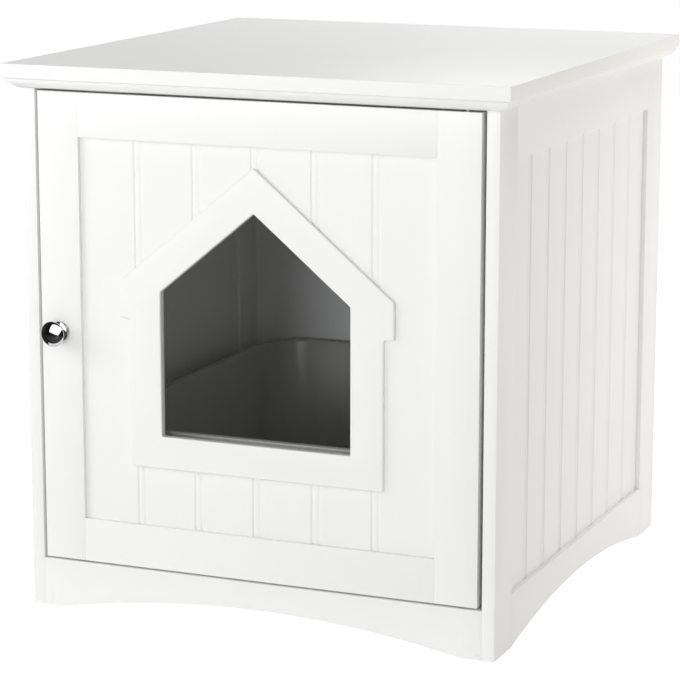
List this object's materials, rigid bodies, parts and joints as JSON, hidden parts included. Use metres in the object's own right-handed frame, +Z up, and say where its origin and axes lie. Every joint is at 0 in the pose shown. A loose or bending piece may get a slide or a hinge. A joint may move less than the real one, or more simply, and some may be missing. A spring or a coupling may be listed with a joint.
{
  "type": "cat litter box cabinet",
  "caption": "Painted cabinet that hides a cat litter tray: framed beadboard sides, overhanging moulded top and a hinged front door with a house-shaped doorway.",
  "frame": {"origin": "on the floor, under the middle of the whole object's bounding box", "axes": "+Z up, +X to the right as seen from the front, -Y towards the front, where the door and its doorway are"},
  "size_m": [0.488, 0.5184, 0.51],
  "materials": {
    "white_paint": "satin white paint on board",
    "bare_wood": "bare beech dowel",
    "chrome": "polished chrome plate",
    "zinc_steel": "bright zinc-plated steel",
    "magnet": "dull ferrite magnet",
    "white_plastic": "moulded white nylon",
    "tray_plastic": "moulded grey plastic, semi-gloss"
  },
  "bodies": {
    "cabinet": {"apron_dowels": "bare_wood", "back_panel": "white_paint", "back_panel_screws": "zinc_steel", "bracket_screws": "zinc_steel", "catch_housing": "white_plastic", "catch_magnet": "magnet", "catch_pole_plates": "zinc_steel", "catch_screws": "zinc_steel", "cleat_screws": "zinc_steel", "floor_panel": "white_paint", "floor_screws": "zinc_steel", "front_apron": "white_paint", "left_bead_panel": "white_paint", "left_bottom_rail": "white_paint", "left_floor_cleat": "white_paint", "left_front_stile": "white_paint", "left_rear_stile": "white_paint", "left_top_rail": "white_paint", "lower_pivot_bush": "white_plastic", "right_bead_panel": "white_paint", "right_bottom_rail": "white_paint", "right_floor_cleat": "white_paint", "right_front_stile": "white_paint", "right_rear_stile": "white_paint", "right_top_rail": "white_paint", "top_brackets": "zinc_steel", "top_dowels": "bare_wood", "top_panel": "white_paint", "upper_pivot_bush": "white_plastic"},
    "door": {"door_bead_panel": "white_paint", "door_bottom_rail": "white_paint", "door_hinge_stile": "white_paint", "door_house_trim": "white_paint", "door_knob": "chrome", "door_latch_stile": "white_paint", "door_top_rail": "white_paint", "knob_screw": "zinc_steel", "lower_pivot_pin": "zinc_steel", "strike_plate": "zinc_steel", "strike_screws": "zinc_steel", "upper_pivot_pin": "zinc_steel"},
    "tray": {"litter_tray": "tray_plastic"}
  },
  "joints": [
    {"name": "door_hinge", "type": "hinge", "parent": "cabinet", "child": "door", "pos_m": [0.1985, -0.23075, 0.2664], "axis": [0, 0, 1], "range_deg": [0, 140]},
    {"name": "tray_slide", "type": "slide", "parent": "cabinet", "child": "tray", "axis": [0, -1, 0], "range_m": [-0.015, 0.01]}
  ]
}
